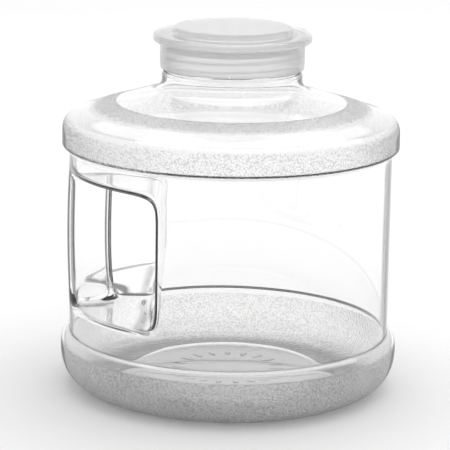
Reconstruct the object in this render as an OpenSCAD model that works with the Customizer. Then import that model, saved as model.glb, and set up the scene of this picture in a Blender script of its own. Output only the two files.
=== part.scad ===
// Large round water jug with a hollow built-in handle, a wide threaded neck and a soft push-on cap.
// Millimetres, +Z up. The origin is the centre of the base, on the surface that the jug stands on.
// The handle is at -X. The jug is one blow-moulded shell: its base, barrel, grip, shoulder and neck
// are drawn as separate nodes that meet face to face, so that each is a simple thin wall.

/* [Shell] */
// Outer diameter of the barrel
barrel_d = 220; // [180:1:270]
// Wall thickness of the moulded shell
wall = 2; // [1.4:0.1:3]

/* [Base] */
// How far the base stands out past the barrel all round
base_swell = 6; // [3:0.5:8]
// Radius of the rounded heel
heel_r = 25; // [16:1:28]
// Height of the straight band above the heel
base_band = 7; // [2:1:20]
// Radius of the curl that brings the base back in to the barrel
curl_r = 8.5; // [7:0.5:9]
// Width of the slope from the flat ring up to the raised middle of the floor
pushup_run = 14; // [8:1:20]
// Height of the raised middle of the floor above the table
pushup_h = 9; // [4:0.5:12]
// Width of the flat ring that the jug stands on
foot_w = 13; // [8:1:14]

/* [Barrel] */
// Height of the straight barrel between the base and the shoulder rim
barrel_h = 122.4; // [110:1:180]

/* [Handle] */
// Distance from the jug's axis to the flat wall behind the fingers
pocket_x = 48; // [30:1:52]
// Height of the finger opening
pocket_h = 91; // [74:1:96]
// Height of the barrel wall under the finger opening
pocket_sill = 20.9; // [12:1:28]
// Radius of the finger opening's inner corners
pocket_r = 13; // [6:1:16]
// Front-to-back width of the grip, across the palm
grip_w = 33; // [27:1:40]
// Thickness of the grip, from its outer face to the fingers
grip_t = 29.2; // [24:0.5:32]
// Radius of the grip's long edges
grip_edge_r = 13; // [6:0.5:13]
// How far the grip bows out past the barrel at its middle
grip_bow = 1.8; // [0.5:0.1:4]

/* [Shoulder] */
// How far the shoulder rim stands out past the barrel
rim_swell = 4.8; // [3:0.1:6]
// Radius of the flare under the rim
flare_r = 7.5; // [6.5:0.1:9]
// Height of the straight band of the rim
rim_band = 11; // [6:0.5:20]
// Radius of the turn from the rim into the cone
turn_r = 9.5; // [6:0.5:14]
// Slope of the cone above the horizontal, degrees
cone_slope = 17.4; // [10:0.2:26]
// Radius of the hollow between the cone and the neck
neck_fillet_r = 7; // [4:0.5:9]

/* [Neck] */
// Radius of the smooth collar at the foot of the neck
collar_r = 47.7; // [39:0.1:58]
// Height of the neck above the point where cone and collar would meet
neck_h = 32.2; // [28:0.1:36]
// Height of the collar above that same point
collar_h = 9.2; // [8:0.1:10]
// Height of the narrow step between the collar and the thread
step_h = 2; // [1:0.1:3]
// How far the step lies inside the collar
step_in = 0.7; // [0.4:0.1:1.2]
// Height of the thread above its root
thread_depth = 1.4; // [0.8:0.1:1.8]
// Rise of the thread in one turn
thread_pitch = 5.7; // [4:0.1:6.5]
// Number of turns of thread
thread_turns = 2.6; // [1:0.1:2.8]

/* [Cap] */
// Gap between the cap and the neck, all round
cap_gap = 0.3; // [0.2:0.05:0.6]
// Thickness of the cap's skirt
skirt_t = 1.8; // [1.2:0.1:3]
// Height of the skirt below the flange
skirt_h = 17.8; // [12:0.1:20]
// How far the flange stands out past the skirt
flange_out = 4.6; // [2:0.1:8]
// Height of the rounded flange
flange_h = 5.7; // [4:0.1:8]
// Radius of the flange's rolled edge
flange_edge_r = 2.6; // [1:0.1:2.8]
// Radius of the raised middle of the cap
crown_r = 40.5; // [30:0.5:42]
// Height of the raised middle above the flange
crown_h = 4.5; // [2:0.1:8]
// Thickness of the raised middle
crown_t = 2.4; // [1.5:0.1:4]
// Radius of the soft edge of the raised middle
crown_edge_r = 2; // [0.5:0.1:2]
// Length of the plug ring that reaches down into the mouth
plug_h = 7; // [4:0.5:10]
// Thickness of the plug ring
plug_t = 2; // [1.4:0.1:3]
// Thickness of the pull tab on the flange
tab_t = 3; // [2:0.1:4]
// Width of the pull tab
tab_w = 18; // [12:1:26]
// How far the pull tab stands out past the flange
tab_out = 4; // [2:0.5:8]
// Direction of the pull tab round the cap, degrees from +X towards +Y
tab_turn = 38; // [0:1:360]

/* [Hidden] */
$fn = 96;

shell_colour = [0.86, 0.91, 0.93];
cap_colour = [0.94, 0.94, 0.93];
arc_steps = 10;      // straight steps in each rounded stretch of an outline
past = 1;            // how far a cutting tool runs past the face it cuts
reach = 2 * barrel_d; // longer than any size across the jug

// Radii from the jug's axis
barrel_r = barrel_d / 2;
base_r = barrel_r + base_swell;
foot_r = base_r - heel_r;
foot_in_r = foot_r - foot_w;
pushup_r = foot_in_r - pushup_run;
rim_r = barrel_r + rim_swell;
step_r = collar_r - step_in;
crest_r = step_r - cap_gap / 2;
root_r = crest_r - thread_depth;
bore_r = root_r - wall;

// Heights above the table
band_top = heel_r + base_band;
curl_end = acos((barrel_r - (base_r - curl_r)) / curl_r);
base_top = band_top + curl_r * sin(curl_end);
barrel_top = base_top + barrel_h;
flare_end = acos((flare_r - rim_swell) / flare_r);
rim_low = barrel_top + flare_r * sin(flare_end);
rim_top = rim_low + rim_band;
turn_end = 90 - cone_slope;
cone_low_r = rim_r - turn_r * (1 - cos(turn_end));
cone_low = rim_top + turn_r * sin(turn_end);
neck_foot = cone_low + (cone_low_r - collar_r) * tan(cone_slope);
fillet_reach = neck_fillet_r * tan(turn_end / 2);
cone_end = neck_foot - fillet_reach * sin(cone_slope);
collar_top = neck_foot + collar_h;
step_top = collar_top + step_h;
mouth = neck_foot + neck_h;
lip_flat = 0.2;      // width of the flat left on top of the rounded lip
lip_r = (wall - lip_flat) / 2;

pocket_low = base_top + pocket_sill;
pocket_high = pocket_low + pocket_h;
pocket_mid = (pocket_low + pocket_high) / 2;
bow_r = (pow(pocket_h / 2, 2) + pow(grip_bow, 2)) / (2 * grip_bow);

// The thread, from its lower end
thread_low = step_top + thread_pitch / 2;
thread_foot_w = 3;   // width of the ridge where it leaves the neck
thread_crest_w = 1;  // width of the ridge's flat top
thread_sunk = 0.6;   // how deep the ridge is rooted in the neck's wall
thread_steps = 36;   // straight steps in one turn
thread_fade = 20;    // degrees over which each end of the ridge runs out

skirt_in_r = crest_r + cap_gap;
skirt_r = skirt_in_r + skirt_t;
flange_r = skirt_r + flange_out;
plug_r = bore_r - cap_gap;
plug_in_r = plug_r - plug_t;
seat = mouth + cap_gap;
flange_drop = 1.3;   // how far the flange reaches down past the lip's seat
flange_low = seat - flange_drop;
flange_top = flange_low + flange_h;
skirt_low = flange_low - skirt_h;
crown_top = flange_top + crown_h;
crown_in_r = min(crown_r - crown_t, plug_in_r);
crown_hollow = crown_top - crown_t;
shelf = flange_top - crown_t;

// Points on an arc round [x, z], from angle a to angle b
function arc(x, z, r, a, b) =
    [for (i = [0 : arc_steps]) let (t = a + (b - a) * i / arc_steps) [x + r * cos(t), z + r * sin(t)]];

heel = arc(foot_r, heel_r, heel_r, -90, 0);
curl = arc(base_r - curl_r, band_top, curl_r, 0, curl_end);
flare = arc(barrel_r + flare_r, barrel_top, flare_r, 180, 180 - flare_end);
turn = arc(rim_r - turn_r, rim_top, turn_r, 0, turn_end);
fillet = arc(collar_r + neck_fillet_r, neck_foot + fillet_reach, neck_fillet_r,
             180 + turn_end, 180);
lip = arc(root_r - lip_r, mouth - lip_r, lip_r, 0, 90);

floor_line = [[0, pushup_h], [pushup_r, pushup_h], [foot_in_r, 0]];
body_line = concat(floor_line, heel, curl, flare, turn);
neck_line = [[collar_r, collar_top], [step_r, collar_top], [step_r, step_top], [root_r, step_top]];

// Right half of the jug's outside, as a filled outline
module outside() {
    polygon(concat(body_line, fillet, neck_line, lip, [[0, mouth]]));
}

// Outside of the jug without its neck, both halves
module bowl_outside() {
    cone_tip = cone_low + cone_low_r * tan(cone_slope);
    for (side = [0, 1])
        mirror([side, 0])
            polygon(concat(body_line, [[0, cone_tip]]));
}

// Right half of the hollow inside: the bowl one wall thickness in, opened by the neck's bore
module inside() {
    intersection() {
        offset(delta = -wall) bowl_outside();
        square([reach, reach]);
    }
    translate([0, neck_foot - neck_fillet_r])
        square([bore_r, mouth - neck_foot + neck_fillet_r + past]);
}

// The wall of the round shell between two heights
module round_wall(low, high) {
    rotate_extrude()
        intersection() {
            difference() {
                outside();
                inside();
            }
            translate([0, low]) square([reach, high - low]);
        }
}

// The finger opening seen from the front, grown by g: it is open towards -X
module pocket_outline(g) {
    r = pocket_r + g;
    low = pocket_low - g;
    high = pocket_high + g;
    edge = g - pocket_x;
    translate([-reach, low]) square([reach + edge - r, high - low]);
    translate([-reach, low + r]) square([reach + edge, high - low - 2 * r]);
    for (z = [low + r, high - r])
        translate([edge - r, z]) circle(r);
}

module pocket(g) {
    rotate([90, 0, 0])
        linear_extrude(height = reach, center = true)
            pocket_outline(g);
}

// Section of the grip, shrunk by g, with its outer face at x = 0 and its inner face at x = -grip_t
module grip_section(g) {
    r = grip_edge_r - g;
    translate([-grip_t + g, -grip_w / 2 + g + r]) square([grip_t - 2 * g, grip_w - 2 * g - 2 * r]);
    translate([-grip_t + g + r, -grip_w / 2 + g]) square([grip_t - 2 * g - 2 * r, grip_w - 2 * g]);
    for (x = [-grip_t + g + r, -g - r], y = [-1, 1])
        translate([x, y * (grip_w / 2 - g - r)]) circle(r);
}

// The bowed column of the grip, shrunk by g and cut off at two heights
module grip_column(g, low, high) {
    half_turn = asin((pocket_h / 2 + wall + 2 * past) / (bow_r - grip_t));
    intersection() {
        translate([bow_r - barrel_r - grip_bow, 0, pocket_mid])
            rotate([90, 0, 0])
                rotate([0, 0, 180 - half_turn])
                    rotate_extrude(angle = 2 * half_turn)
                        translate([bow_r, 0]) grip_section(g);
        translate([-reach, -reach / 2, low]) cube([reach, reach, high - low]);
    }
}

// Helical ridge on the neck: one ring of four points at each step
module thread() {
    rings = round(thread_turns * thread_steps);
    turned = function (i) i * 360 / thread_steps;
    fade = function (i) min(1, turned(i) / thread_fade, turned(rings - i) / thread_fade);
    points = [
        for (i = [0 : rings])
            let (a = turned(i), z = thread_low + thread_pitch * i / thread_steps,
                 foot = root_r - thread_sunk, crest = root_r - thread_sunk / 2
                 + (thread_depth + thread_sunk / 2) * fade(i))
                for (p = [[foot, -thread_foot_w / 2], [crest, -thread_crest_w / 2],
                          [crest, thread_crest_w / 2], [foot, thread_foot_w / 2]])
                    [p[0] * cos(a), p[0] * sin(a), z + p[1]]
    ];
    sides = [
        for (i = [0 : rings - 1], k = [0 : 3])
            let (a = 4 * i + k, b = 4 * i + (k + 1) % 4)
                [a, b, b + 4, a + 4]
    ];
    polyhedron(points, concat(sides, [[3, 2, 1, 0], [for (k = [0 : 3]) 4 * rings + k]]),
               convexity = 8);
}

module base() {
    color(shell_colour) round_wall(0, base_top);
}

module barrel() {
    color(shell_colour)
        difference() {
            translate([0, 0, base_top]) cylinder(h = barrel_h, r = barrel_r);
            pocket(0);
            difference() {
                translate([0, 0, base_top - past])
                    cylinder(h = barrel_h + 2 * past, r = barrel_r - wall);
                pocket(wall);
            }
            grip_column(wall, pocket_low - wall - past, pocket_high + wall + past);
        }
}

module grip() {
    color(shell_colour)
        difference() {
            grip_column(0, pocket_low, pocket_high);
            grip_column(wall, pocket_low - past, pocket_high + past);
        }
}

module shoulder() {
    color(shell_colour) round_wall(barrel_top, cone_end);
}

module neck() {
    color(shell_colour) {
        round_wall(cone_end, mouth + past);
        thread();
    }
}

module cap() {
    edge_x = flange_r - flange_edge_r;
    flange_edge = concat(
        arc(edge_x, flange_low + flange_edge_r, flange_edge_r, -90, 0),
        arc(edge_x, flange_top - flange_edge_r, flange_edge_r, 0, 90));
    crown_edge = arc(crown_r - crown_edge_r, crown_top - crown_edge_r, crown_edge_r, 0, 90);
    color(cap_colour) {
        rotate_extrude()
            polygon(concat(
                [[0, crown_hollow], [crown_in_r, crown_hollow], [crown_in_r, shelf],
                 [plug_in_r, shelf], [plug_in_r, seat - plug_h], [plug_r, seat - plug_h],
                 [plug_r, seat], [skirt_in_r, seat], [skirt_in_r, skirt_low],
                 [skirt_r, skirt_low], [skirt_r, flange_low]],
                flange_edge,
                [[crown_r, flange_top]],
                crown_edge,
                [[0, crown_top]]));
        rotate([0, 0, tab_turn])
            translate([0, 0, (flange_low + flange_top - tab_t) / 2])
                difference() {
                    linear_extrude(height = tab_t)
                        hull()
                            for (y = [-1, 1])
                                translate([flange_r + tab_out - tab_w / 4, y * tab_w / 4])
                                    circle(tab_w / 4);
                    translate([0, 0, -past]) cylinder(h = tab_t + 2 * past, r = skirt_r + past);
                }
    }
}

base();
barrel();
grip();
shoulder();
neck();
cap();
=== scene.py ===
"""Clear blow-moulded water jug with a soft translucent push-on cap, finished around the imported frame."""
import math

import bmesh
import bpy
from mathutils import Matrix, Vector, noise


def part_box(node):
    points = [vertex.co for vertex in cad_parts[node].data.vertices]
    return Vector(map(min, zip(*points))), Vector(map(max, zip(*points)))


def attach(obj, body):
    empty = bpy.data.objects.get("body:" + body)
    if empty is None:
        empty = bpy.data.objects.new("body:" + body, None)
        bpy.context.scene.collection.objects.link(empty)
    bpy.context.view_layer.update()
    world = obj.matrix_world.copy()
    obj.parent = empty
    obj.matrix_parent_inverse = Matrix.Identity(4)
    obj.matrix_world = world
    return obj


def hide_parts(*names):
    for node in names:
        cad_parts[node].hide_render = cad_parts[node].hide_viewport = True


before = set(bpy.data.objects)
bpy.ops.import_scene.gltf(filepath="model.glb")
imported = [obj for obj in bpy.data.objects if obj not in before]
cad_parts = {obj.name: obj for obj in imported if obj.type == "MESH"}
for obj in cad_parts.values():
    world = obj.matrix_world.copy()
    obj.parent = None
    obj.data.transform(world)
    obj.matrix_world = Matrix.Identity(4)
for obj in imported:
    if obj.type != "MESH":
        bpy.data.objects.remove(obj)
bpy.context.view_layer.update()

MM = 0.001


# ---------------------------------------------------------------- sizes that the frame gives, in mm


def corners(node):
    """The lowest and the highest corner of a node, in mm."""
    return [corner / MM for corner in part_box(node)]


base_r = corners("base")[1].x
barrel_r = corners("barrel")[1].x
barrel_top = corners("barrel")[1].z
sill = corners("grip")[0].z
lintel = corners("grip")[1].z
rim_r = corners("shoulder")[1].x
mouth = corners("neck")[1].z
flange_r = -corners("cap")[0].x
skirt_low = corners("cap")[0].z
crown_top = corners("cap")[1].z

# ---------------------------------------------------------------- the jug's other sizes, in mm

WALL = 2.0            # thickness of the moulded wall

RAISED_R = 64.0       # raised middle of the floor
RAISED_H = 9.0
HEEL_R = 25.0         # rounded heel
BASE_BAND = 7.0       # straight band over the heel
CURL_R = 8.5          # curl where the base turns in to the barrel

FLARE_R = 7.5         # flare under the shoulder rim
FLARE_RISE = 7.0      # height of the flare
RIM_BAND = 11.0       # straight band of the rim
TURN_R = 9.5          # turn from the rim into the cone
CONE_SLOPE = math.radians(17.4)

NECK_FILLET = 7.0     # fillet from the cone into the neck
COLLAR_R = 47.7       # collar, and the small step on top of it
COLLAR_TOP = 217.73
STEP_IN = 0.7
STEP_H = 2.0
ROOT_R = 45.45        # neck wall under the thread
THREAD_DEPTH = 1.4
THREAD_PITCH = 5.7
THREAD_TURNS = 2.6
THREAD_LOW = 222.58   # height of the thread's lower end
THREAD_CREST = 0.6    # half widths of the thread at its crest and at its foot
THREAD_FOOT = 1.9
THREAD_FADE = 0.06    # turns over which each end of the thread sinks into the neck

POCKET_WALL = -48.0   # x of the flat wall behind the fingers
POCKET_EDGE = 2.7     # rounding of the pocket's edge
RIDGE = 0.7           # parting ridge round the pocket, where the mould's two cores met
GRIP_MIDDLE = -95.5   # x of the middle of the grip
GRIP_BOW = 1.8        # how far the grip bows outwards at its middle
FOOT_SPREAD = 3.0     # how far the grip's foot spreads on the pocket's floor
HEAD_SPREAD = 1.0     # the same for its head, under the pocket's ceiling

WAVE_LONG = 48.0      # slow waves inside the wall
WAVE_SHORT = 22.0
WAVE_DEPTH = 0.04
CALM_TOP = 12.0       # the waves are gone this far below the mouth
CALM_FADE = 20.0      # and fade in over this height under that

MARK_IN = 28.0        # ring of small raised bars on the floor
MARK_OUT = 40.0
MARK_GAP = 1.2        # gap round each bar, and width of its slanting sides
MARK_EDGE = 0.6
MARK_DEPTH = 0.6

# ---------------------------------------------------------------- stipple and painted edge shade, in mm

GRAIN_IN = 78.2       # radii between which the cone is stippled
GRAIN_OUT = 93.5
GRAIN_FADE = 7.0      # width over which the cone's stipple fades out
RIM_GRAIN_LOW = 7.4   # the rim's stipple starts this far over the barrel's top
RIM_GRAIN_TOP = 186.4
RIM_GRAIN_FADE = 4.0
BASE_GRAIN_IN = RAISED_R + 12
BASE_GRAIN_TOP = HEEL_R + BASE_BAND + 0.6

PAINTED_SHADE_BAND = 3.2           # width of the painted dark shade line that edges the round walls
GRIP_BEND = 16.0      # how tightly the grip's wall bends
FLAT_BEND = 1600.0    # the same for the pocket's nearly flat walls
LEAST_BEND = 20.0     # the same for the tightest of the round walls
LEAST_UPRIGHT = 0.2   # level walls get the painted edge shade, which stands in for light they pipe, at least this much as strongly as upright ones
BESIDE_HAND = 6.0     # the pocket's walls are taken to reach this far over and under its opening
GRIP_BACK = -78.0     # the grip lies beyond this x, within this half width
GRIP_HALF = 22.0
POCKET_MARGIN = 4.0   # the pocket's other walls lie this far within the flat wall and the barrel

# ---------------------------------------------------------------- the cage that smoothing rounds off, in mm

COLUMNS = 38          # faces round the jug before smoothing
LEVELS = 2            # smoothing levels
COLUMN = 2 * math.pi / COLUMNS
HOLD = 0.8            # distance of a ring that keeps an edge crisp
CURL_SHORT = 0.09     # radians by which the curl's arc stops short of its last point
FLARE_SHORT = 0.08    # the same for the flare's
FLOOR_RINGS = (0, 14, 28, 40, 56)                    # radii on the raised floor
FOOT_LINE = [(63, 8.8), (69.5, 5.4), (76, 0.9), (81.5, 0.0), (87, 0.0)]   # from there down to the foot ring
LOW_ROW = 49                                         # height of the ring under the pocket
POCKET_ROWS = [73, 81, 106.5, 132, 140]              # heights beside the pocket
CONE_RINGS = (101, 93.5, 85.5, 78.6, 77.8, 66, 57)   # radii down the cone, close together at its crisp line
NECK_ROWS = 9                                        # rings on the threaded wall

WINDOW_COLUMNS = 7    # the pocket's windows end this many columns from the middle of the grip
GRIP_FACES = [(-110.0, 0.0), (-110.0, 8.5)]          # x and y of the grip's section: the face to the palm
GRIP_SECTION = [(-105.8, 15.3), (-98.0, 17.0), (-89.6, 15.3), (-81.9, 8.5), (-80.3, 1.4), (-80.3, 0.0)]
WALL_RINGS = [0.0, 0.0, 66.0, 33.0, 1.4, 0.0]        # y of each ring on the flat wall, from ring 2 on
GRIP_DRAW = 1.15      # the inside of the grip is drawn in by this many walls, as smoothing rounds it less
EDGE_RINGS = 2        # the first rings round the pocket's edge, the others line its walls
INNER_RING = 3        # from this ring on, the pocket's floor turns in a wide U
CORNER = 2.5          # how far a corner of the cage is drawn in, for a 13 mm corner
U_CORNER = 4.0        # the same for the wide U
U_SIDE = 1.4          # how far the cage's neighbours of such a corner follow it
U_REACH = 15.0        # height over the sill within which they do
NEAR_END = 1.0        # a point this near to the sill or the lintel belongs to it
SEAM_DRAW = 0.75      # the columns over and under the grip are drawn together by this, for its narrower foot
SEAM_OUT = 1.008
SEAM_REACH = 5.0      # within this height over and under the opening


# ---------------------------------------------------------------- small modelling helpers


def deselect():
    for obj in bpy.context.selected_objects:
        obj.select_set(False)


def edit(obj):
    """Goes into edit mode on obj alone, with nothing selected."""
    deselect()
    bpy.context.view_layer.objects.active = obj
    obj.select_set(True)
    bpy.ops.object.mode_set(mode="EDIT")
    bpy.ops.mesh.select_mode(type="VERT")
    bpy.ops.mesh.select_all(action="DESELECT")


def done():
    bpy.ops.object.mode_set(mode="OBJECT")


def pick(obj, kind, where):
    """Selects just the vertices, edges or faces of obj, in edit mode, for which where(element) is true."""
    bpy.ops.mesh.select_mode(type={"verts": "VERT", "edges": "EDGE", "faces": "FACE"}[kind])
    bpy.ops.mesh.select_all(action="DESELECT")
    mesh = bmesh.from_edit_mesh(obj.data)
    for element in getattr(mesh, kind):
        if where(element):
            element.select_set(True)
    mesh.select_flush_mode()
    bmesh.update_edit_mesh(obj.data)


def warp(obj, rule):
    """Moves every vertex of obj to rule(place)."""
    for vertex in obj.data.vertices:
        vertex.co = rule(vertex.co.copy())
    obj.data.update()


def smooth(obj):
    """Rounds the cage off as a subdivision surface."""
    deselect()
    bpy.context.view_layer.objects.active = obj
    obj.select_set(True)
    modifier = obj.modifiers.new("smooth", "SUBSURF")
    modifier.levels = LEVELS
    modifier.render_levels = LEVELS
    bpy.ops.object.modifier_apply(modifier=modifier.name)


def spun(name, line, steps):
    """A line of (radius, height) points in mm, drawn point by point and spun about the jug's axis."""
    deselect()
    radius, height = line[0]
    bpy.ops.mesh.primitive_plane_add(size=MM, location=(0, 0, 0))
    obj = bpy.context.object
    obj.name = obj.data.name = name
    edit(obj)
    bpy.ops.mesh.select_all(action="SELECT")
    bpy.ops.mesh.merge(type="CENTER")
    bpy.ops.transform.translate(value=(-radius * MM, 0, height * MM))
    for (r0, z0), (r1, z1) in zip(line, line[1:]):
        bpy.ops.mesh.extrude_region_move(
            TRANSFORM_OT_translate={"value": ((r0 - r1) * MM, 0, (z1 - z0) * MM)})
    bpy.ops.mesh.select_all(action="SELECT")
    bpy.ops.mesh.spin(steps=steps, angle=2 * math.pi, center=(0, 0, 0), axis=(0, 0, 1))
    bpy.ops.mesh.select_all(action="SELECT")
    bpy.ops.mesh.remove_doubles(threshold=0.01 * MM)
    bpy.ops.mesh.normals_make_consistent(inside=False)
    done()
    return obj


def arc(x, z, r, start, end, steps):
    """Points on an arc round (x, z), from the angle start to the angle end, in mm and radians."""
    turns = [start + (end - start) * i / steps for i in range(steps + 1)]
    return [(x + r * math.cos(t), z + r * math.sin(t)) for t in turns]


def outgrown(columns):
    """How much larger a ring of the cage is drawn, because smoothing draws it in."""
    return 1 / (1 - (1 - math.cos(2 * math.pi / columns)) / 3)


def distance_out(place):
    """Distance of a place from the jug's axis, in mm."""
    return Vector((place.x, place.y)).length / MM


# ---------------------------------------------------------------- jug shell


def profile(w):
    """Half section of the shell, w inside its outer face, from the middle of the floor to the mouth."""
    slope = Vector((-math.sin(CONE_SLOPE), -math.cos(CONE_SLOPE))) * w
    floor_in = [(r, RAISED_H + w) for r in FLOOR_RINGS]
    foot = [(r, z + w) for r, z in FOOT_LINE]
    heel = arc(base_r - HEEL_R, HEEL_R, HEEL_R - w, -math.pi / 2, 0, 5)
    curl_x, curl_z = base_r - CURL_R, HEEL_R + BASE_BAND
    curl_end = math.acos((barrel_r - w - curl_x) / (CURL_R - w))
    curl = arc(curl_x, curl_z, CURL_R - w, 0, curl_end - CURL_SHORT, 3)
    curl.append((barrel_r - w, curl_z + (CURL_R - w) * math.sin(curl_end)))
    low, high = sill - w - POCKET_EDGE, lintel + w + POCKET_EDGE
    wall = [(barrel_r - w, z) for z in [curl[-1][1] + HOLD, LOW_ROW, low] + POCKET_ROWS + [high]]
    flare_x = barrel_r + FLARE_R
    flare_end = math.acos((rim_r - w - flare_x) / (FLARE_R + w))
    flare = arc(flare_x, barrel_top, FLARE_R + w, math.pi, flare_end + FLARE_SHORT, 3)
    rim_low = barrel_top + (FLARE_R + w) * math.sin(flare_end)
    rim_top = barrel_top + FLARE_RISE + RIM_BAND
    rim = [(rim_r - w, rim_low), (rim_r - w, rim_low + HOLD), (rim_r - w, (rim_low + rim_top) / 2)]
    turn = arc(rim_r - TURN_R, rim_top, TURN_R - w, 0, math.pi / 2 - CONE_SLOPE, 4)
    cone_r, cone_z = turn[-1][0] - slope.x, turn[-1][1] - slope.y
    cone = [(r + slope.x, cone_z + (cone_r - r) * math.tan(CONE_SLOPE) + slope.y) for r in CONE_RINGS]
    fillet_in = NECK_FILLET * (1 - math.sin(CONE_SLOPE))
    fillet_z = cone_z + (cone_r - COLLAR_R - fillet_in) * math.tan(CONE_SLOPE)
    fillet_z += NECK_FILLET * math.cos(CONE_SLOPE)
    fillet = arc(COLLAR_R + NECK_FILLET, fillet_z, NECK_FILLET + w, 1.5 * math.pi - CONE_SLOPE, math.pi, 3)
    body = floor_in + foot + heel + curl + wall + flare + rim + turn + cone + fillet
    return [(r * outgrown(COLUMNS), z) for r, z in body + (neck_inside() if w else neck_outside())]


def neck_outside():
    """The collar, the step and the wall under the thread and the lip, with slightly rounded edges."""
    step_r, step_top = COLLAR_R - STEP_IN, COLLAR_TOP + STEP_H
    wall_low = step_top + 0.7
    wall_h = mouth - 1.6 - step_top
    line = [(COLLAR_R, COLLAR_TOP - 2), (COLLAR_R, COLLAR_TOP - 0.3), (COLLAR_R - 0.1, COLLAR_TOP)]
    line += [(step_r, COLLAR_TOP + 0.2), (step_r, step_top - 0.4), (step_r - 0.3, step_top)]
    line += [(ROOT_R + 0.2, step_top + 0.1)]
    line += [(ROOT_R, wall_low + wall_h * i / NECK_ROWS) for i in range(NECK_ROWS + 1)]
    return line + [(ROOT_R - 0.15, mouth - 0.3), (ROOT_R - 0.6, mouth)]


def neck_inside():
    """The bore, from the wide collar to the rounded lip."""
    bore = ROOT_R - WALL
    line = [(COLLAR_R - WALL, COLLAR_TOP - 2), (COLLAR_R - WALL - 0.5, COLLAR_TOP + 0.5)]
    line += [(bore + 0.4, COLLAR_TOP + 4)]
    line += [(bore, COLLAR_TOP + 7), (bore, COLLAR_TOP + 12), (bore, mouth - 5), (bore, mouth - 1)]
    return line + [(bore + 0.15, mouth - 0.3), (bore + 0.6, mouth)]


def grip_point(x, y, z, w):
    """A point of the grip's section at height z, drawn in by the wall and bowed outwards at mid height."""
    out = Vector((x - GRIP_MIDDLE, y))
    out *= (out.length - GRIP_DRAW * w) / out.length
    half = (lintel - sill) / 2
    bow = GRIP_BOW * max(0.0, 1 - ((z - sill - half) / half) ** 2)
    return Vector((GRIP_MIDDLE + out.x - bow, out.y))


def bearing(place):
    """Angle from the middle of the grip, counted in columns of the cage."""
    return abs(math.atan2(place.y, -place.x)) / COLUMN


def pocket_place(ring, across, co, w):
    """Where ring number ring of the pocket's cage passes, across from the grip (0) to the flat wall (1)."""
    x, y, z = (value / MM for value in co)
    side = 1 if y > 0 else -1
    by_grip, by_wall = across < 0.01, across > 0.99
    at_end = z < sill - w + NEAR_END or z > lintel + w - NEAR_END
    inward = 0.0 if not at_end else (1.0 if z < sill else -1.0)
    wide = inward > 0 and ring >= INNER_RING
    corner = U_CORNER if wide else CORNER
    grip = grip_point(*GRIP_SECTION[ring], z, w)
    if at_end:
        spread = FOOT_SPREAD if inward > 0 else HEAD_SPREAD
        back = 0 if ring < EDGE_RINGS else max(spread * 0.7, corner if wide else 0)
        grip += Vector((back, spread if ring <= INNER_RING else 0))
    wall_x = POCKET_WALL + w - (corner if at_end else 0)
    if ring < EDGE_RINGS:
        radius = (barrel_r - w) * outgrown(COLUMNS)
        inset = POCKET_EDGE * ring
        wall = Vector((wall_x, math.sqrt((radius - inset) ** 2 - wall_x ** 2)))
        middle = Vector((x, abs(y))) * (1 - inset / radius)
    else:
        wall = Vector((wall_x, WALL_RINGS[ring]))
        middle = grip.lerp(wall, across)
    spot = grip if by_grip else (wall if by_wall else middle)
    if by_grip or by_wall:
        z += inward * corner
        if ring >= INNER_RING and sill < z < sill + U_REACH and not at_end:
            spot.x += U_SIDE / 2 if by_grip else -U_SIDE / 2
    elif wide and (across < 0.2 or across > 0.8):
        z += U_SIDE
    if ring == len(GRIP_SECTION) - 1 and not w:
        spot.x += RIDGE if by_grip else (-RIDGE if by_wall else 0)
        z += inward * RIDGE
    return Vector((spot.x, side * spot.y, z)) * MM


def moulded_skin(name, w):
    """One face of the shell's wall, w inside its outer face, with the pocket cut through behind the grip."""
    skin = spun(name, profile(w), COLUMNS)
    cut_windows(skin, w)
    shape_grip(skin, w)
    line_pocket(skin, w)
    edit(skin)
    bpy.ops.mesh.select_all(action="SELECT")
    bpy.ops.mesh.remove_doubles(threshold=0.01 * MM)
    bpy.ops.mesh.normals_make_consistent(inside=False)
    done()
    return skin


def cut_windows(skin, w):
    """Cuts the pocket's two windows, beside the grip."""
    low, high = (sill - w - POCKET_EDGE) * MM, (lintel + w + POCKET_EDGE) * MM

    def in_window(face):
        middle = face.calc_center_median()
        return low < middle.z < high and 1 < bearing(middle) < WINDOW_COLUMNS

    edit(skin)
    pick(skin, "faces", in_window)
    bpy.ops.mesh.inset(thickness=POCKET_EDGE * MM, use_even_offset=True)
    bpy.ops.mesh.delete(type="FACE")
    done()


def shape_grip(skin, w):
    """Moves the columns between the windows to the grip's outer face, and narrows them over and under it."""
    for vertex in skin.data.vertices:
        x, y, z = (value / MM for value in vertex.co)
        column = bearing(vertex.co)
        if column > 1.05 or not sill - w - SEAM_REACH < z < lintel + w + SEAM_REACH:
            continue
        if sill < z < lintel:
            spot = grip_point(*GRIP_FACES[round(column)], z, w)
            vertex.co.xy = Vector((spot.x, math.copysign(spot.y, y))) * MM
        elif column > 0.5:
            vertex.co.y *= SEAM_DRAW
            vertex.co.x *= SEAM_OUT


def line_pocket(skin, w):
    """Extrudes the windows' edges ring by ring, round the grip and along the flat wall, until they meet."""
    edit(skin)
    pick(skin, "edges", lambda edge: edge.is_boundary and edge.verts[0].co.z < barrel_top * MM)
    mesh = bmesh.from_edit_mesh(skin.data)
    across = mesh.verts.layers.float.new("across")
    for vertex in mesh.verts:
        if vertex.select:
            vertex[across] = round(bearing(vertex.co) - 1) / (WINDOW_COLUMNS - 1)
    for ring in range(len(GRIP_SECTION)):
        if ring:
            bpy.ops.mesh.extrude_region_move()
        mesh = bmesh.from_edit_mesh(skin.data)
        across = mesh.verts.layers.float["across"]
        for vertex in mesh.verts:
            if vertex.select:
                vertex.co = pocket_place(ring, vertex[across], vertex.co, w)
        bmesh.update_edit_mesh(skin.data)
    done()


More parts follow.
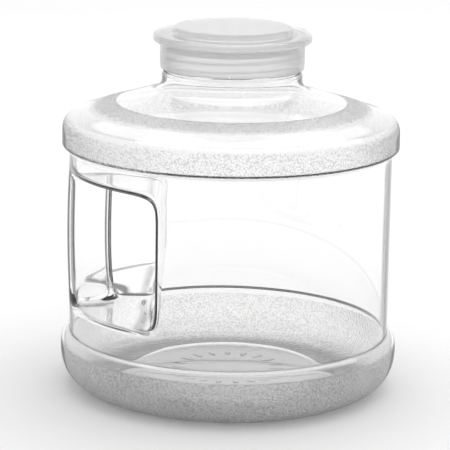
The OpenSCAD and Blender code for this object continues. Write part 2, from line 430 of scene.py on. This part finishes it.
def thread_height(place):
    """How far the thread stands out of the neck at a place, in mm: a right-handed ridge with faded ends."""
    turn = (math.atan2(place.y, place.x) % (2 * math.pi)) / (2 * math.pi)
    height = 0.0
    for lap in range(math.ceil(THREAD_TURNS)):
        along = turn + lap
        if along > THREAD_TURNS:
            break
        away = abs(place.z / MM - THREAD_LOW - THREAD_PITCH * along)
        ends = min(1.0, along / THREAD_FADE, (THREAD_TURNS - along) / THREAD_FADE)
        flank = min(1.0, max(0.0, (THREAD_FOOT - away) / (THREAD_FOOT - THREAD_CREST)))
        height = max(height, THREAD_DEPTH * ends * flank * flank * (3 - 2 * flank))
    return height


def threaded(place):
    """Raises the thread on the neck's outside."""
    radius = Vector((place.x, place.y)).length
    if place.z / MM < COLLAR_TOP + STEP_H or radius / MM < ROOT_R - 0.3:
        return place
    grow = 1 + thread_height(place) * MM / radius
    return Vector((place.x * grow, place.y * grow, place.z))


def ripple(skin):
    """Gives the wall's inside the slow waves that blowing leaves, as its outside takes the mould's shape."""
    outward = [vertex.normal.copy() for vertex in skin.data.vertices]
    for vertex, normal in zip(skin.data.vertices, outward):
        calm = min(1.0, max(0.0, (mouth - CALM_TOP - vertex.co.z / MM) / CALM_FADE))
        long_wave = noise.noise(vertex.co / (WAVE_LONG * MM))
        short_wave = noise.noise(vertex.co / (WAVE_SHORT * MM))
        vertex.co += normal * (long_wave + 0.5 * short_wave) * calm * WAVE_DEPTH * MM


def grain_of(vertex):
    """How strongly the outside is stippled at a vertex, from 0 to 1: on the base, the rim and the cone."""
    radius = distance_out(vertex.co)
    height = vertex.co.z / MM
    if height < BASE_GRAIN_TOP:
        return 1.0 if radius > BASE_GRAIN_IN else 0.0
    if height < barrel_top + RIM_GRAIN_LOW or radius < GRAIN_IN:
        return 0.0
    on_rim = 0.5 + (RIM_GRAIN_TOP - height) / RIM_GRAIN_FADE
    on_cone = 0.5 + (GRAIN_OUT - radius) / GRAIN_FADE
    return min(1.0, max(0.0, on_rim, on_cone))


def upright_painted_shade_onset(place):
    """How nearly edge-on an upright wall there must be seen before shade is painted on it, from 0 to 1."""
    x, y, z = (value / MM for value in place)
    radius = distance_out(place)
    beside_hand = sill - BESIDE_HAND < z < lintel + BESIDE_HAND
    if beside_hand and x < GRIP_BACK and abs(y) < GRIP_HALF:
        band, bend = WALL, GRIP_BEND
    elif beside_hand and x < POCKET_WALL + POCKET_MARGIN and radius < barrel_r - POCKET_MARGIN:
        band, bend = WALL, FLAT_BEND
    else:
        band, bend = PAINTED_SHADE_BAND, max(LEAST_BEND, radius)
    return 1 - math.cos(math.asin(1 - band / bend))


def painted_shade_onset(vertex):
    """The same at a vertex of a wall that may slope: the more level it is, the less edge shade is painted on
    it, as it pipes less light.
    """
    upright = max(LEAST_UPRIGHT, 1 - abs(vertex.normal.z))
    return 1 - upright * (1 - upright_painted_shade_onset(vertex.co))


def mark(skin, name, rule):
    """Holds rule(vertex) on every vertex of skin, under a name that the material reads."""
    found = [rule(vertex) for vertex in skin.data.vertices]
    values = skin.data.attributes.new(name, "FLOAT", "POINT").data
    for index, value in enumerate(found):
        values[index].value = value


def floor_marks(skin):
    """A plain ring of small raised bars on the middle of the floor's underside."""

    def marked(face):
        middle = face.calc_center_median()
        column = math.floor((math.atan2(middle.y, middle.x) + math.pi) / COLUMN)
        on_floor = middle.z / MM > RAISED_H - 1
        return MARK_IN < distance_out(middle) < MARK_OUT and on_floor and column % 2 == 0

    edit(skin)
    pick(skin, "faces", marked)
    bpy.ops.mesh.inset(thickness=MARK_GAP * MM, use_individual=True)
    bpy.ops.mesh.inset(thickness=MARK_EDGE * MM, use_individual=True)
    bpy.ops.transform.translate(value=(0, 0, -MARK_DEPTH * MM))
    done()


def jug_shell():
    """The whole blow-moulded shell: its outer and inner faces, joined round the lip into one closed wall."""
    outer = moulded_skin("jug_shell", 0.0)
    floor_marks(outer)
    inner = moulded_skin("shell_inside", WALL)
    for skin in (outer, inner):
        smooth(skin)
    mark(outer, "grain", grain_of)
    warp(outer, threaded)
    ripple(inner)
    for skin in (outer, inner):
        # each skin holds where the material starts painting dark edge shade on it
        mark(skin, "painted_edge_shade_onset", painted_shade_onset)
    deselect()
    inner.select_set(True)
    outer.select_set(True)
    bpy.context.view_layer.objects.active = outer
    bpy.ops.object.join()
    edit(outer)
    pick(outer, "edges", lambda edge: edge.is_boundary)
    bpy.ops.mesh.bridge_edge_loops()
    bpy.ops.mesh.select_all(action="SELECT")
    bpy.ops.mesh.normals_make_consistent(inside=False)
    bpy.ops.mesh.faces_shade_smooth()
    done()
    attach(outer, "jug")
    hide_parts("base", "barrel", "grip", "shoulder", "neck")
    return outer


# ---------------------------------------------------------------- cap, in mm

CAP_GAP = 0.3         # clearance to the neck all round
SKIRT_T = 1.8
FLANGE_H = 5.7
CROWN_R = 40.5        # raised middle
CROWN_H = 4.5
CROWN_T = 2.4
PLUG_H = 7.0          # ring inside the mouth
PLUG_T = 2.0
TAB_T = 3.0
TAB_OUT = 4.0
TAB_TURN = 38.0       # degrees from +X to the pull tab
TAB_DRAWN = 45.0      # degrees at which it is drawn, astride two columns of the cage
CAP_COLUMNS = 32
SOFT_CORNER = 0.45    # how far the corners inside the cap are cut back


def eased(line, ease):
    """The line with each inner corner swapped for two points, a short way back along its two sides."""
    soft = [line[0]]
    for before, corner, after in zip(line, line[1:], line[2:]):
        here = Vector(corner)
        for other in (Vector(before), Vector(after)):
            reach = min(ease, 0.45 * (other - here).length)
            soft.append(tuple(here + (other - here).normalized() * reach))
    return soft + [line[-1]]


def cap_profile():
    """Half section of the cap, from the middle of its hollow round the plug, skirt and flange to its top."""
    flange_top = crown_top - CROWN_H
    flange_low = flange_top - FLANGE_H
    seat = mouth + CAP_GAP
    shelf = flange_top - CROWN_T
    hollow = crown_top - CROWN_T
    crown_in = CROWN_R - CROWN_T
    skirt_in = ROOT_R + THREAD_DEPTH + CAP_GAP
    skirt_out = skirt_in + SKIRT_T
    plug_out = ROOT_R - WALL - CAP_GAP
    plug_in = plug_out - PLUG_T
    inside = [(0, hollow), (crown_in * 0.5, hollow), (crown_in, hollow), (crown_in, shelf), (plug_in, shelf)]
    inside += [(plug_in, seat - PLUG_H), (plug_out, seat - PLUG_H), (plug_out, seat), (skirt_in, seat)]
    inside += [(skirt_in, (seat + skirt_low) / 2), (skirt_in, skirt_low), (skirt_out, skirt_low)]
    inside += [(skirt_out, (flange_low + skirt_low) / 2), (skirt_out, flange_low)]
    rim = [(skirt_out + 1.4, flange_low - 0.1), (flange_r - 1.6, flange_low - 0.05)]
    rim += [(flange_r - 0.1, flange_low + 0.7), (flange_r + 0.05, flange_low + 2)]
    rim += [(flange_r + 0.05, flange_top - 2), (flange_r - 0.2, flange_top - 0.6)]
    rim += [(flange_r - 1.9, flange_top + 0.1), (CROWN_R + 5, flange_top)]
    crown = [(CROWN_R + 0.6, flange_top), (CROWN_R, flange_top + 0.4), (CROWN_R, crown_top - 1.6)]
    crown += [(CROWN_R - 0.7, crown_top - 0.3), (CROWN_R - 2.2, crown_top)]
    crown += [(CROWN_R * 0.5, crown_top), (0, crown_top)]
    return [(r * outgrown(CAP_COLUMNS), z) for r, z in eased(inside, SOFT_CORNER) + rim + crown]


def draw_tab(piece):
    """Draws the pull tab out of the flange's edge."""
    flange_top = crown_top - CROWN_H
    tab_low = (flange_top - FLANGE_H + flange_top - TAB_T) / 2

    def at_tab(face):
        middle = face.calc_center_median()
        turn = math.degrees(math.atan2(middle.y, middle.x))
        on_edge = distance_out(middle) > flange_r - 0.9
        level = tab_low - 0.5 < middle.z / MM < tab_low + TAB_T + 0.5
        return on_edge and level and abs(turn - TAB_DRAWN) < 360 / CAP_COLUMNS

    edit(piece)
    pick(piece, "faces", at_tab)
    out = Vector((math.cos(math.radians(TAB_DRAWN)), math.sin(math.radians(TAB_DRAWN))))
    for share in (0.3, 0.7):
        bpy.ops.mesh.extrude_region_move(TRANSFORM_OT_translate={
            "value": (out.x * TAB_OUT * share * MM, out.y * TAB_OUT * share * MM, 0)})
    done()


def cap():
    """The push-on cap: plug ring, skirt, rolled flange with its pull tab, and raised middle."""
    piece = spun("cap_piece", cap_profile(), CAP_COLUMNS)
    draw_tab(piece)
    turn = Matrix.Rotation(math.radians(TAB_TURN - TAB_DRAWN), 3, "Z")
    warp(piece, lambda place: turn @ place)
    smooth(piece)
    edit(piece)
    bpy.ops.mesh.select_all(action="SELECT")
    bpy.ops.mesh.faces_shade_smooth()
    done()
    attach(piece, "cap")
    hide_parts("cap")
    return piece


# ---------------------------------------------------------------- materials


def linear(code):
    """An sRGB hex colour as a linear RGBA value."""
    parts = [int(code[i:i + 2], 16) / 255 for i in (1, 3, 5)]
    return [p / 12.92 if p <= 0.04045 else ((p + 0.055) / 1.055) ** 2.4 for p in parts] + [1.0]


def add_node(tree, kind, inputs=None, **settings):
    """Adds a node with its settings. An input is a value, or the output socket that feeds it."""
    made = tree.nodes.new(kind)
    for name, value in settings.items():
        setattr(made, name, value)
    for name, value in (inputs or {}).items():
        if isinstance(value, bpy.types.NodeSocket):
            tree.links.new(value, made.inputs[name])
        else:
            made.inputs[name].default_value = value
    return made


def start_material(name):
    made = bpy.data.materials.new(name)
    made.use_nodes = True
    made.node_tree.nodes.clear()
    return made, made.node_tree


def per_metre(millimetres):
    """A texture's scale for a pattern whose parts are this many millimetres across."""
    return 1 / (millimetres * MM)


def clear_polycarbonate():
    """Clear blow-moulded polycarbonate: glossy, with dark shade painted into its colour where it is seen
    edge-on, standing in for the light it pipes away.
    The mould's fine stipple makes the shoulder, the rim and the base look frosted, with shade painted into
    its hollows."""
    made, tree = start_material("clear_moulded_polycarbonate")
    place = add_node(tree, "ShaderNodeTexCoord").outputs["Object"]
    grain = add_node(tree, "ShaderNodeAttribute", attribute_name="grain").outputs["Fac"]
    pebbles = add_node(tree, "ShaderNodeTexVoronoi", {"Vector": place, "Scale": per_metre(1.25)},
                       feature="F1")
    stipple = add_node(tree, "ShaderNodeMath", {0: pebbles.outputs["Distance"], 1: grain},
                       operation="MULTIPLY")
    bump = add_node(tree, "ShaderNodeBump",
                    {"Height": stipple.outputs[0], "Strength": 1.0, "Distance": 0.3 * MM})
    haze = add_node(tree, "ShaderNodeMapRange",
                    {"Value": stipple.outputs[0], "From Max": 0.35, "To Min": 0.01, "To Max": 0.3})
    # Dark shade is painted into the colour where the wall is seen more nearly edge-on than its own limit,
    # standing in for the light it pipes away.
    along = add_node(tree, "ShaderNodeLayerWeight", {"Blend": 0.5}).outputs["Facing"]
    limit = add_node(tree, "ShaderNodeAttribute", attribute_name="painted_edge_shade_onset").outputs["Fac"]
    past = add_node(tree, "ShaderNodeMath", {0: along, 1: limit}, operation="SUBTRACT")
    # painted edge shade: near white turning near black as the wall is seen edge-on
    edge = add_node(tree, "ShaderNodeValToRGB", {"Fac": past.outputs[0]})
    edge.color_ramp.elements[0].position = 0.0
    edge.color_ramp.elements[0].color = linear("#fefefe")
    edge.color_ramp.elements[1].position = 0.05
    edge.color_ramp.elements[1].color = linear("#161616")
    # Shade is painted into the hollows between the pebbles, darker than their tops.
    painted_pit_shade = add_node(tree, "ShaderNodeValToRGB", {"Fac": stipple.outputs[0]})
    painted_pit_shade.color_ramp.elements[0].position = 0.42
    painted_pit_shade.color_ramp.elements[0].color = linear("#ffffff")
    painted_pit_shade.color_ramp.elements[1].position = 0.68
    painted_pit_shade.color_ramp.elements[1].color = linear("#c2c2c2")
    # On this node input 0 is the factor, and inputs 6 and 7 and output 2 are its colours.
    # the painted edge shade and the painted shade in the hollows are multiplied into one base colour
    tint = add_node(tree, "ShaderNodeMix", {0: 1.0, 6: edge.outputs["Color"], 7: painted_pit_shade.outputs["Color"]},
                    data_type="RGBA", blend_type="MULTIPLY")
    surface = add_node(tree, "ShaderNodeBsdfPrincipled",
                       {"Base Color": tint.outputs[2], "Roughness": haze.outputs["Result"], "IOR": 1.585,
                        "Transmission Weight": 1.0, "Normal": bump.outputs["Normal"]})
    body = add_node(tree, "ShaderNodeVolumeAbsorption",
                    {"Color": linear("#d8d8d8"), "Density": 9.0})
    add_node(tree, "ShaderNodeOutputMaterial",
             {"Surface": surface.outputs["BSDF"], "Volume": body.outputs["Volume"]})
    return made


def frosted_cap_plastic():
    """Soft injection-moulded polyethylene, uncoloured: milky, lets light through and shows no sharp
    reflection, with a faint mottle where it cooled."""
    made, tree = start_material("frosted_soft_polyethylene")
    place = add_node(tree, "ShaderNodeTexCoord").outputs["Object"]
    mottle = add_node(tree, "ShaderNodeTexNoise", {"Vector": place, "Scale": per_metre(9.0), "Detail": 3.0})
    tint = add_node(tree, "ShaderNodeValToRGB", {"Fac": mottle.outputs["Fac"]})
    tint.color_ramp.elements[0].position = 0.35
    tint.color_ramp.elements[0].color = linear("#fdfdfd")
    tint.color_ramp.elements[1].position = 0.7
    tint.color_ramp.elements[1].color = linear("#ffffff")
    grain = add_node(tree, "ShaderNodeTexNoise", {"Vector": place, "Scale": per_metre(0.7), "Detail": 2.0})
    bump = add_node(tree, "ShaderNodeBump",
                    {"Height": grain.outputs["Fac"], "Strength": 0.12, "Distance": 0.1 * MM})
    satin = add_node(tree, "ShaderNodeMapRange",
                     {"Value": mottle.outputs["Fac"], "To Min": 0.2, "To Max": 0.3})
    surface = add_node(tree, "ShaderNodeBsdfPrincipled",
                       {"Base Color": tint.outputs["Color"], "Roughness": satin.outputs["Result"],
                        "IOR": 1.38, "Transmission Weight": 0.72, "Normal": bump.outputs["Normal"]})
    add_node(tree, "ShaderNodeOutputMaterial", {"Surface": surface.outputs["BSDF"]})
    return made


def studio_paper():
    """White seamless studio paper: matt, with the faintest unevenness."""
    made, tree = start_material("white_studio_paper")
    place = add_node(tree, "ShaderNodeTexCoord").outputs["Object"]
    fibres = add_node(tree, "ShaderNodeTexNoise", {"Vector": place, "Scale": per_metre(3.0), "Detail": 4.0})
    tint = add_node(tree, "ShaderNodeValToRGB", {"Fac": fibres.outputs["Fac"]})
    tint.color_ramp.elements[0].color = linear("#fafafa")
    tint.color_ramp.elements[1].color = linear("#fdfdfd")
    surface = add_node(tree, "ShaderNodeBsdfPrincipled",
                       {"Base Color": tint.outputs["Color"], "Roughness": 0.85, "Specular IOR Level": 0.1})
    add_node(tree, "ShaderNodeOutputMaterial", {"Surface": surface.outputs["BSDF"]})
    return made


# ---------------------------------------------------------------- studio, in metres and degrees

VIEW_AIM = 0.0979     # height on the jug's axis that the camera looks at
VIEW_DISTANCE = 1.65
VIEW_DOWN = 13.95     # how far the camera looks down
VIEW_ROLL = 0.92      # and leans to one side
LENS = 191.6          # mm, on a sensor 36 mm wide
SHIFT = (-0.0098, 0.0444)
FLOOR_SIZE = 14
SOFTBOX_PLACE = (0.3, 0.5, 2.2)
SOFTBOX_SIZE = 3.0
SOFTBOX_WATTS = 26
JUG_MIDDLE = (0, 0, 0.12)
AIR_STRENGTH = 1.16   # brightness of the white surroundings


def camera():
    """Seen from the front and a little above, with the jug almost filling the frame."""
    data = bpy.data.cameras.new("camera")
    data.sensor_width = 36
    data.lens = LENS
    data.shift_x, data.shift_y = SHIFT
    made = bpy.data.objects.new("camera", data)
    bpy.context.scene.collection.objects.link(made)
    down = math.radians(VIEW_DOWN)
    made.location = Vector((0, 0, VIEW_AIM)) + Vector((0, -math.cos(down), math.sin(down))) * VIEW_DISTANCE
    tilt = Matrix.Rotation(math.pi / 2 - down, 4, "X")
    roll = Matrix.Rotation(math.radians(VIEW_ROLL), 4, "Z")
    made.matrix_world = Matrix.Translation(made.location) @ tilt @ roll
    bpy.context.scene.camera = made


def floor():
    deselect()
    bpy.ops.mesh.primitive_plane_add(size=FLOOR_SIZE, location=(0, 0, 0))
    made = bpy.context.object
    made.name = "studio_floor"
    made.data.materials.append(studio_paper())


def softbox():
    """A large soft lamp overhead, facing the jug."""
    data = bpy.data.lights.new("overhead_softbox", "AREA")
    data.shape = "SQUARE"
    data.size = SOFTBOX_SIZE
    data.energy = SOFTBOX_WATTS
    made = bpy.data.objects.new("overhead_softbox", data)
    bpy.context.scene.collection.objects.link(made)
    made.location = SOFTBOX_PLACE
    made.rotation_euler = (Vector(SOFTBOX_PLACE) - Vector(JUG_MIDDLE)).to_track_quat("Z", "Y").to_euler()


def studio_air():
    """White surroundings that dim a little overhead."""
    world = bpy.data.worlds.new("studio_air")
    world.use_nodes = True
    tree = world.node_tree
    tree.nodes.clear()
    direction = add_node(tree, "ShaderNodeTexCoord").outputs["Generated"]
    height = add_node(tree, "ShaderNodeSeparateXYZ", {"Vector": direction}).outputs["Z"]
    fall = add_node(tree, "ShaderNodeValToRGB", {"Fac": height})
    fall.color_ramp.elements[0].position = 0.35
    fall.color_ramp.elements[0].color = linear("#ffffff")
    fall.color_ramp.elements[1].position = 0.85
    fall.color_ramp.elements[1].color = linear("#b6b6b6")
    air = add_node(tree, "ShaderNodeBackground", {"Color": fall.outputs["Color"], "Strength": AIR_STRENGTH})
    add_node(tree, "ShaderNodeOutputWorld", {"Surface": air.outputs["Background"]})
    bpy.context.scene.world = world


def studio():
    """Plain pale floor and soft light, with enough light bounces for clear walls behind clear walls."""
    scene = bpy.context.scene
    scene.view_settings.view_transform = "Standard"
    scene.cycles.max_bounces = 18
    scene.cycles.transmission_bounces = 18
    scene.cycles.glossy_bounces = 6
    floor()
    studio_air()
    softbox()


camera()
shell = jug_shell()
lid = cap()
for piece, finish in ((shell, clear_polycarbonate()), (lid, frosted_cap_plastic())):
    piece.data.materials.clear()
    piece.data.materials.append(finish)
studio()
